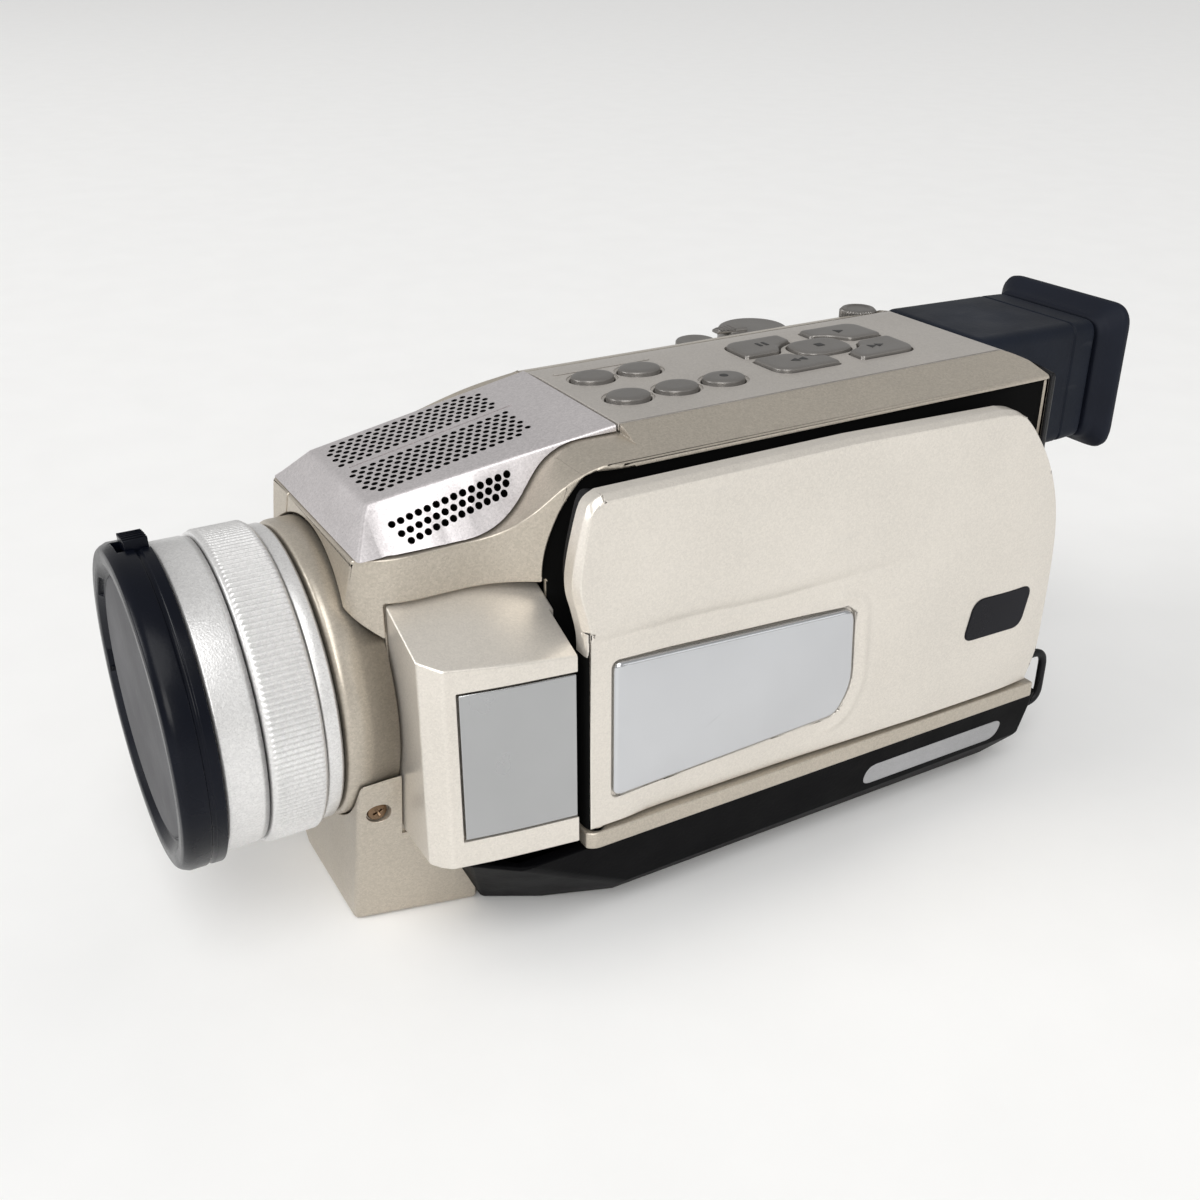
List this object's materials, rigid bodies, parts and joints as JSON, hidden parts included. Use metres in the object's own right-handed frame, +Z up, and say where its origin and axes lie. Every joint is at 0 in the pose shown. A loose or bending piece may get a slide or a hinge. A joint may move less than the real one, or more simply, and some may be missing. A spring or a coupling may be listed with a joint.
{
  "type": "camcorder",
  "caption": "Palm-size tape camcorder: front lens with knurled focus ring, fold-out screen, rear tilting viewfinder, perforated microphone cover, hand strap and lens cap.",
  "frame": {"origin": "centre of the part's bounding box, at its lowest point, which is the plane it stands on", "axes": "+Z up, -Y the way the lens points, +X the side with the fold-out screen, -X the hand side with the strap"},
  "size_m": [0.0918, 0.1936, 0.0824],
  "materials": {
    "champagne_shell": "metallic champagne paint, satin, fine flake",
    "lilac_silver": "metallic silver paint with a faint lilac cast",
    "deck_plate": "metallic grey-beige paint, satin",
    "lens_silver": "satin anodised",
    "satin_plate": "satin plated, fine brushing",
    "black_plastic": "fine moulded texture",
    "cap_plastic": "fine moulded texture",
    "finder_plastic": "blue-black, fine moulded texture",
    "rubber": "soft matt",
    "key_grey": "satin",
    "lens_glass": "coated",
    "screen_glass": "glossy dark panel",
    "sensor": "dark moulded block",
    "brass_screw": "plated",
    "steel": "plain",
    "strap_fabric": "woven nylon webbing over padding",
    "circuit_board": "solder mask"
  },
  "bodies": {
    "body": {"left_shell": "champagne_shell", "right_shell": "champagne_shell", "front_cover": "champagne_shell", "lens_shroud": "champagne_shell", "hinge_block": "champagne_shell", "mic_cover": "lilac_silver", "top_deck": "deck_plate", "lens_barrel": "lens_silver", "rear_lens_band": "lens_silver", "hinge_trim": "satin_plate", "base_cover": "black_plastic", "rear_cover": "black_plastic", "strap_loop": "black_plastic", "inner_lens_tube": "black_plastic", "microphone": "black_plastic", "front_glass": "lens_glass", "image_sensor": "sensor", "front_screw": "brass_screw", "tripod_socket": "steel", "tape_chassis": "steel", "lcd_hinge_pin": "steel", "main_board": "circuit_board"},
    "focus": {"focus_ring": "lens_silver"},
    "screen": {"lcd_cover": "champagne_shell", "lcd_trim": "satin_plate", "lcd_bezel": "black_plastic", "lcd_screen": "screen_glass"},
    "finder": {"viewfinder_carriage": "finder_plastic", "viewfinder_display": "screen_glass"},
    "finder_tube": {"viewfinder_housing": "finder_plastic", "eyecup": "rubber", "eyepiece_lens": "lens_glass"},
    "cap": {"lens_cap": "cap_plastic"},
    "cap_tab_upper": {"cap_tab_top": "cap_plastic"},
    "cap_tab_lower": {"cap_tab_bottom": "cap_plastic"},
    "door": {"cassette_door": "champagne_shell", "hand_strap": "strap_fabric"},
    "tape_carrier": {"cassette_holder": "steel", "cassette": "black_plastic"},
    "supply_spool": {"supply_spindle": "black_plastic"},
    "takeup_spool": {"takeup_spindle": "black_plastic"},
    "drum": {"head_drum": "steel"},
    "jack_flap": {"jack_cover": "champagne_shell"},
    "battery_pack": {"battery": "black_plastic"},
    "latch": {"battery_latch": "black_plastic"},
    "mode_wheel": {"mode_dial": "key_grey"},
    "record": {"record_button": "key_grey"},
    "zoom": {"zoom_lever": "key_grey"},
    "photo": {"photo_button": "key_grey"},
    "eject": {"eject_slider": "key_grey"},
    "light_button_body": {"light_button": "key_grey"},
    "stabiliser_button_body": {"stabiliser_button": "key_grey"},
    "fade_button_body": {"fade_button": "key_grey"},
    "auto_button_body": {"auto_button": "key_grey"},
    "focus_button_body": {"focus_button": "key_grey"},
    "pause_key_body": {"pause_key": "key_grey"},
    "rewind_key_body": {"rewind_key": "key_grey"},
    "stop_key_body": {"stop_key": "key_grey"},
    "play_key_body": {"play_key": "key_grey"},
    "forward_key_body": {"forward_key": "key_grey"}
  },
  "joints": [
    {"name": "lcd_swing", "type": "hinge", "parent": "body", "child": "screen", "pos_m": [0.04335, -0.0371, 0.05], "axis": [0, 0, -1], "range_deg": [0, 90]},
    {"name": "viewfinder_tilt", "type": "hinge", "parent": "body", "child": "finder", "pos_m": [0.00435, 0.0593, 0.0794], "axis": [1, 0, 0], "range_deg": [0, 90]},
    {"name": "viewfinder_slide", "type": "slide", "parent": "finder", "child": "finder_tube", "axis": [0, 1, 0], "range_m": [0, 0.008]},
    {"name": "focus_turn", "type": "hinge", "parent": "body", "child": "focus", "pos_m": [0.00735, -0.0794, 0.042], "axis": [0, 1, 0], "continuous": true},
    {"name": "cap_pull", "type": "slide", "parent": "body", "child": "cap", "axis": [0, -1, 0], "range_m": [0, 0.03]},
    {"name": "cap_tab_top_squeeze", "type": "slide", "parent": "cap", "child": "cap_tab_upper", "axis": [0, 0, -1], "range_m": [0, 0.0015], "stiffness_N_per_m": 400, "springref_m": -0.0005},
    {"name": "cap_tab_bottom_squeeze", "type": "slide", "parent": "cap", "child": "cap_tab_lower", "axis": [0, 0, 1], "range_m": [0, 0.0015], "stiffness_N_per_m": 400, "springref_m": -0.0005},
    {"name": "door_swing", "type": "hinge", "parent": "body", "child": "door", "pos_m": [-0.02965, 0.0028, 0.0193], "axis": [0, -1, 0], "range_deg": [0, 70]},
    {"name": "cassette_lift", "type": "slide", "parent": "body", "child": "tape_carrier", "axis": [-1, 0, 0], "range_m": [0, 0.005]},
    {"name": "supply_turn", "type": "hinge", "parent": "body", "child": "supply_spool", "pos_m": [-0.00765, -0.0112, 0.046], "axis": [1, 0, 0], "continuous": true},
    {"name": "takeup_turn", "type": "hinge", "parent": "body", "child": "takeup_spool", "pos_m": [-0.00765, 0.0168, 0.046], "axis": [1, 0, 0], "continuous": true},
    {"name": "drum_spin", "type": "hinge", "parent": "body", "child": "drum", "pos_m": [-0.01265, 0.0028, 0.0158], "axis": [1, 0, 0], "continuous": true},
    {"name": "jack_cover_swing", "type": "hinge", "parent": "body", "child": "jack_flap", "pos_m": [-0.01775, -0.0534, 0.05], "axis": [0, 0, 1], "range_deg": [0, 100]},
    {"name": "battery_pull", "type": "slide", "parent": "body", "child": "battery_pack", "axis": [0, 1, 0], "range_m": [0, 0.02]},
    {"name": "battery_latch_lift", "type": "slide", "parent": "body", "child": "latch", "axis": [0, 0, 1], "range_m": [0, 0.004], "stiffness_N_per_m": 200, "springref_m": -0.001},
    {"name": "mode_turn", "type": "hinge", "parent": "body", "child": "mode_wheel", "pos_m": [-0.00765, 0.051, 0.078], "axis": [0, 0, 1], "range_deg": [-60, 60]},
    {"name": "record_press", "type": "slide", "parent": "body", "child": "record", "axis": [0, -1, 0], "range_m": [0, 0.001], "stiffness_N_per_m": 400, "springref_m": -0.0005},
    {"name": "zoom_rock", "type": "hinge", "parent": "body", "child": "zoom", "pos_m": [-0.01715, 0.0328, 0.076], "axis": [0, 0, 1], "range_deg": [-10, 10], "stiffness_Nm_per_rad": 0.02},
    {"name": "photo_press", "type": "slide", "parent": "body", "child": "photo", "axis": [0, 0, -1], "range_m": [0, 0.001], "stiffness_N_per_m": 400, "springref_m": -0.0005},
    {"name": "eject_push", "type": "slide", "parent": "body", "child": "eject", "axis": [0, 1, 0], "range_m": [0, 0.004], "stiffness_N_per_m": 200, "springref_m": -0.001},
    {"name": "light_press", "type": "slide", "parent": "body", "child": "light_button_body", "axis": [0, 0, -1], "range_m": [0, 0.0008], "stiffness_N_per_m": 400, "springref_m": -0.0005},
    {"name": "stabiliser_press", "type": "slide", "parent": "body", "child": "stabiliser_button_body", "axis": [0, 0, -1], "range_m": [0, 0.0008], "stiffness_N_per_m": 400, "springref_m": -0.0005},
    {"name": "fade_press", "type": "slide", "parent": "body", "child": "fade_button_body", "axis": [0, 0, -1], "range_m": [0, 0.0008], "stiffness_N_per_m": 400, "springref_m": -0.0005},
    {"name": "auto_press", "type": "slide", "parent": "body", "child": "auto_button_body", "axis": [0, 0, -1], "range_m": [0, 0.0008], "stiffness_N_per_m": 400, "springref_m": -0.0005},
    {"name": "focus_press", "type": "slide", "parent": "body", "child": "focus_button_body", "axis": [0, 0, -1], "range_m": [0, 0.0008], "stiffness_N_per_m": 400, "springref_m": -0.0005},
    {"name": "pause_key_press", "type": "slide", "parent": "body", "child": "pause_key_body", "axis": [0, 0, -1], "range_m": [0, 0.0008], "stiffness_N_per_m": 400, "springref_m": -0.0005},
    {"name": "rewind_key_press", "type": "slide", "parent": "body", "child": "rewind_key_body", "axis": [0, 0, -1], "range_m": [0, 0.0008], "stiffness_N_per_m": 400, "springref_m": -0.0005},
    {"name": "stop_key_press", "type": "slide", "parent": "body", "child": "stop_key_body", "axis": [0, 0, -1], "range_m": [0, 0.0008], "stiffness_N_per_m": 400, "springref_m": -0.0005},
    {"name": "play_key_press", "type": "slide", "parent": "body", "child": "play_key_body", "axis": [0, 0, -1], "range_m": [0, 0.0008], "stiffness_N_per_m": 400, "springref_m": -0.0005},
    {"name": "forward_key_press", "type": "slide", "parent": "body", "child": "forward_key_body", "axis": [0, 0, -1], "range_m": [0, 0.0008], "stiffness_N_per_m": 400, "springref_m": -0.0005}
  ],
  "couplings": [
    {"joint": "cassette_lift", "follows": "door_swing", "m_per_rad": 0.00409}
  ]
}
